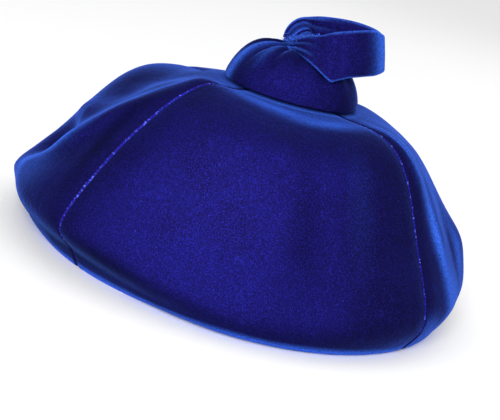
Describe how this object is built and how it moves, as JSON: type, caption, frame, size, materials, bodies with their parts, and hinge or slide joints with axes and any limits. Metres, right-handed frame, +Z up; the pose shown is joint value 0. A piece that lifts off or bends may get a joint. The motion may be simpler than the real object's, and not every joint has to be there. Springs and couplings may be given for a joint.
{
  "type": "velvet beret with a button and a ribbon loop",
  "caption": "Soft gored beret in blue velvet with a rolled-under rim, a padded button on the crown and a loop of velvet strip gathered on top of it.",
  "frame": {"origin": "the middle of the hat's outline seen from above, in the plane of the rim's underside", "axes": "+Z up through the button, -Y towards the wearer's front, +X towards the wearer's left"},
  "size_m": [0.2299, 0.2236, 0.1294],
  "materials": {
    "crown_velvet": "royal blue velvet, deep navy face on and bright blue at grazing angles",
    "button_velvet": "the same velvet gathered over padding",
    "loop_velvet": "a strip of the same velvet, folded double"
  },
  "bodies": {
    "root": {"crown_gore_front": "crown_velvet", "crown_gore_left": "crown_velvet", "crown_gore_back": "crown_velvet", "crown_gore_right": "crown_velvet", "crown_button": "button_velvet", "ribbon_loop": "loop_velvet"}
  },
  "joints": []
}
